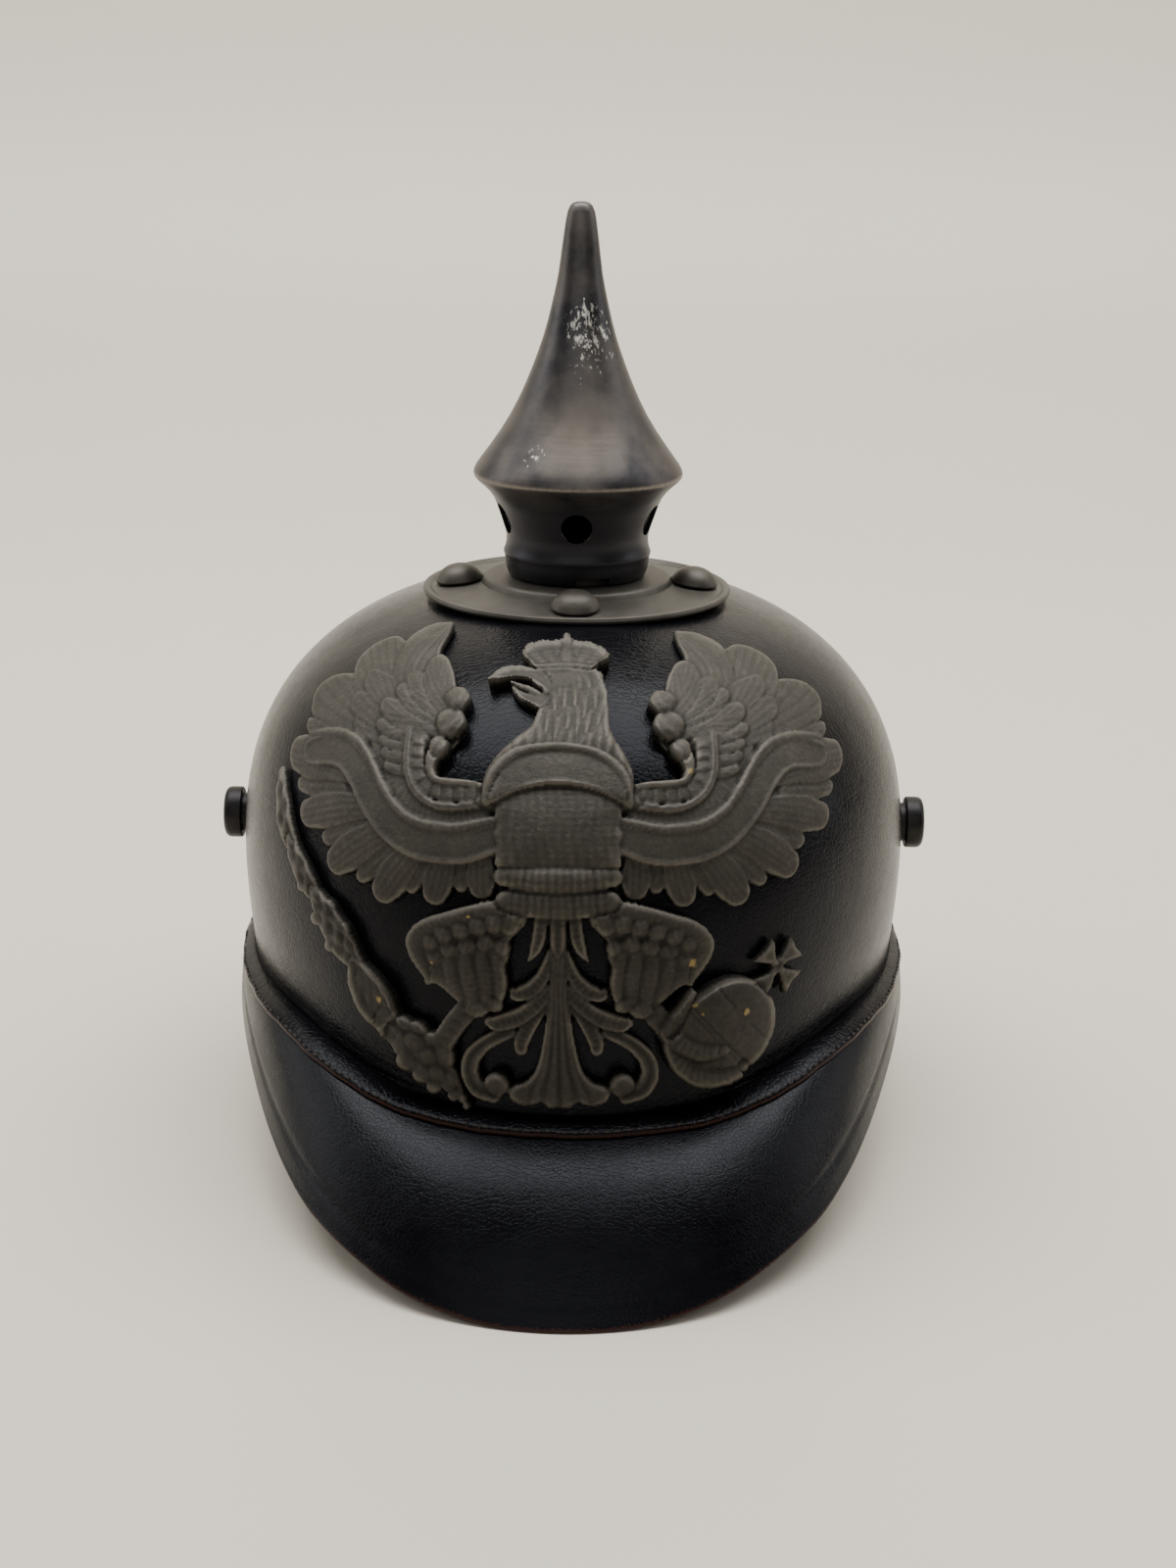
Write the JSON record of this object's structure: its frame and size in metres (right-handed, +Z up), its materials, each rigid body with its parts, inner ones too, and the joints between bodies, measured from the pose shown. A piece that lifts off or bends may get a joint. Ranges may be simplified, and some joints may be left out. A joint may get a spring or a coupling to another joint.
{
  "type": "pickelhaube",
  "caption": "Black leather spiked helmet with sewn front and rear visors, a raised heraldic eagle plate and a hollow twist-off spike on a studded base plate.",
  "frame": {"origin": "on the table under the spike's axis, with the helmet standing on its visors", "axes": "+Z up along the spike, the front and its eagle face -Y, +X to the right as seen from the front"},
  "size_m": [0.189, 0.2928, 0.2393],
  "materials": {
    "lacquered_leather": "glossy black lacquer, finely crazed and scratched",
    "grey_steel": "matt warm grey patina with lighter worn edges",
    "dark_steel": "satin dark steel with bright scratches"
  },
  "bodies": {
    "helmet": {"skull": "lacquered_leather", "front_visor": "lacquered_leather", "rear_visor": "lacquered_leather", "rear_spine": "dark_steel", "eagle_plate": "grey_steel", "spike_base": "grey_steel", "stud_front": "dark_steel", "stud_right": "dark_steel", "stud_rear": "dark_steel", "stud_left": "dark_steel", "side_post_left": "dark_steel", "side_post_right": "dark_steel"},
    "spike": {"spike": "dark_steel"}
  },
  "joints": [
    {"name": "spike_turn", "type": "hinge", "parent": "helmet", "child": "spike", "pos_m": [0, 0, 0.1463], "axis": [0, 0, 1], "range_deg": [0, 75]}
  ]
}
